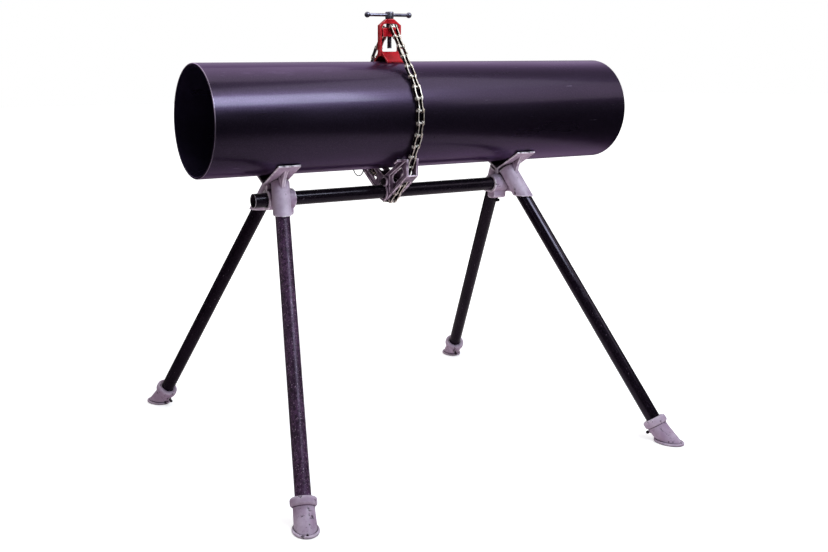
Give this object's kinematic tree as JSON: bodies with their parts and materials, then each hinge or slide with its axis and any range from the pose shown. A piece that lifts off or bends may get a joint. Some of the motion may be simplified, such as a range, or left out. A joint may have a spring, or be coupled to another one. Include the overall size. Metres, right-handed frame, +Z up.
{
  "type": "chain vise pipe stand",
  "caption": "Floor stand for holding large pipe: saddle heads on a pipe beam, splayed pipe legs with cast feet, and a screw yoke that tightens a chain round the gripped pipe.",
  "frame": {"origin": "on the floor under the middle of the gripped pipe, at the middle of the bounding box base", "axes": "+X along the beam and the gripped pipe, towards the right head; +Y to the rear; +Z up"},
  "size_m": [1.45, 1.1966, 1.2937],
  "materials": {
    "work_coat": "gloss blue-black mill coating",
    "stand_pipe": "semi-gloss black",
    "head_casting": "satin grey over cast texture",
    "bracket_casting": "satin dark grey over cast texture",
    "yoke_red": "gloss red over cast texture",
    "chain_steel": "worn, slightly tan",
    "screw_steel": "machined, oiled",
    "handle_steel": "polished",
    "lock_black": "black oxide"
  },
  "bodies": {
    "beam": {"beam_tube": "stand_pipe"},
    "head_left": {"saddle_head_left": "head_casting"},
    "beam_lock_left": {"head_screw_left": "lock_black"},
    "leg_front_left": {"leg_tube_front_left": "stand_pipe", "foot_front_left": "head_casting"},
    "foot_lock_front_left": {"foot_screw_front_left": "lock_black"},
    "leg_rear_left": {"leg_tube_rear_left": "stand_pipe", "foot_rear_left": "head_casting"},
    "foot_lock_rear_left": {"foot_screw_rear_left": "lock_black"},
    "head_right": {"saddle_head_right": "head_casting"},
    "beam_lock_right": {"head_screw_right": "lock_black"},
    "leg_front_right": {"leg_tube_front_right": "stand_pipe", "foot_front_right": "head_casting"},
    "foot_lock_front_right": {"foot_screw_front_right": "lock_black"},
    "leg_rear_right": {"leg_tube_rear_right": "stand_pipe", "foot_rear_right": "head_casting"},
    "foot_lock_rear_right": {"foot_screw_rear_right": "lock_black"},
    "vise": {"vise_bracket": "bracket_casting", "bracket_bolt": "lock_black", "bracket_nut": "lock_black", "chain_outer_plates": "chain_steel", "chain_inner_plates": "chain_steel", "chain_pins": "chain_steel", "yoke_frame": "yoke_red"},
    "workpiece": {"workpiece_pipe": "work_coat"},
    "screw": {"yoke_screw": "screw_steel", "retaining_collar": "screw_steel", "collar_pin": "screw_steel"},
    "block": {"chain_block": "yoke_red"},
    "handle": {"handle_bar": "handle_steel", "handle_ball_left": "handle_steel", "handle_ball_right": "handle_steel"},
    "chain_mid": {"chain_mid_plates": "chain_steel", "chain_mid_pins": "chain_steel"},
    "chain_end": {"chain_end_plates": "chain_steel", "chain_end_pins": "chain_steel"},
    "bail": {"keeper_bail": "screw_steel"}
  },
  "joints": [
    {"name": "head_left_slide", "type": "slide", "parent": "beam", "child": "head_left", "axis": [-1, 0, 0], "range_m": [-0.1, 0.03]},
    {"name": "beam_lock_left_turn", "type": "hinge", "parent": "head_left", "child": "beam_lock_left", "pos_m": [-0.4482, 0, 0.7186], "axis": [0, 0, 1], "range_deg": [0, 720]},
    {"name": "leg_front_left_slide", "type": "slide", "parent": "head_left", "child": "leg_front_left", "axis": [-0.2039, -0.5388, -0.8174], "range_m": [0, 0.065]},
    {"name": "foot_lock_front_left_turn", "type": "hinge", "parent": "leg_front_left", "child": "foot_lock_front_left", "pos_m": [-0.66071, -0.5234, 0.04005], "axis": [0.2892, 0.7645, -0.5761], "range_deg": [0, 720]},
    {"name": "leg_rear_left_slide", "type": "slide", "parent": "head_left", "child": "leg_rear_left", "axis": [-0.2039, 0.5388, -0.8174], "range_m": [0, 0.065]},
    {"name": "foot_lock_rear_left_turn", "type": "hinge", "parent": "leg_rear_left", "child": "foot_lock_rear_left", "pos_m": [-0.66071, 0.5234, 0.04005], "axis": [0.2892, -0.7645, -0.5761], "range_deg": [0, 720]},
    {"name": "head_right_slide", "type": "slide", "parent": "beam", "child": "head_right", "axis": [1, 0, 0], "range_m": [-0.1, 0.03]},
    {"name": "beam_lock_right_turn", "type": "hinge", "parent": "head_right", "child": "beam_lock_right", "pos_m": [0.3308, 0, 0.7186], "axis": [0, 0, 1], "range_deg": [0, 720]},
    {"name": "leg_front_right_slide", "type": "slide", "parent": "head_right", "child": "leg_front_right", "axis": [0.2039, -0.5388, -0.8174], "range_m": [0, 0.065]},
    {"name": "foot_lock_front_right_turn", "type": "hinge", "parent": "leg_front_right", "child": "foot_lock_front_right", "pos_m": [0.54331, -0.5234, 0.04005], "axis": [-0.2892, 0.7645, -0.5761], "range_deg": [0, 720]},
    {"name": "leg_rear_right_slide", "type": "slide", "parent": "head_right", "child": "leg_rear_right", "axis": [0.2039, 0.5388, -0.8174], "range_m": [0, 0.065]},
    {"name": "foot_lock_rear_right_turn", "type": "hinge", "parent": "leg_rear_right", "child": "foot_lock_rear_right", "pos_m": [0.54331, 0.5234, 0.04005], "axis": [-0.2892, -0.7645, -0.5761], "range_deg": [0, 720]},
    {"name": "vise_slide", "type": "slide", "parent": "beam", "child": "vise", "axis": [1, 0, 0], "range_m": [-0.1, 0.1]},
    {"name": "workpiece_slide", "type": "slide", "parent": "beam", "child": "workpiece", "axis": [1, 0, 0], "range_m": [-0.15, 0.15]},
    {"name": "screw_turn", "type": "hinge", "parent": "vise", "child": "screw", "pos_m": [-0.0847, 0, 1.24446], "axis": [0, 0, 1], "range_deg": [0, 3150]},
    {"name": "block_slide", "type": "slide", "parent": "vise", "child": "block", "axis": [0, 0, 1], "range_m": [-0.02625, 0]},
    {"name": "handle_slide", "type": "slide", "parent": "screw", "child": "handle", "axis": [1, 0, 0], "range_m": [-0.0472, 0.0552]},
    {"name": "chain_mid_swing", "type": "hinge", "parent": "vise", "child": "chain_mid", "pos_m": [-0.0847, -0.10522, 1.12894], "axis": [1, 0, 0], "range_deg": [0, 60]},
    {"name": "chain_end_swing", "type": "hinge", "parent": "chain_mid", "child": "chain_end", "pos_m": [-0.0847, -0.06261, 1.18821], "axis": [1, 0, 0], "range_deg": [0, 60]},
    {"name": "bail_swing", "type": "hinge", "parent": "vise", "child": "bail", "pos_m": [-0.0847, 0.116, 0.8206], "axis": [1, 0, 0], "range_deg": [-60, 20]}
  ],
  "couplings": [
    {"joint": "block_slide", "follows": "screw_turn", "m_per_rad": -0.00047746}
  ]
}
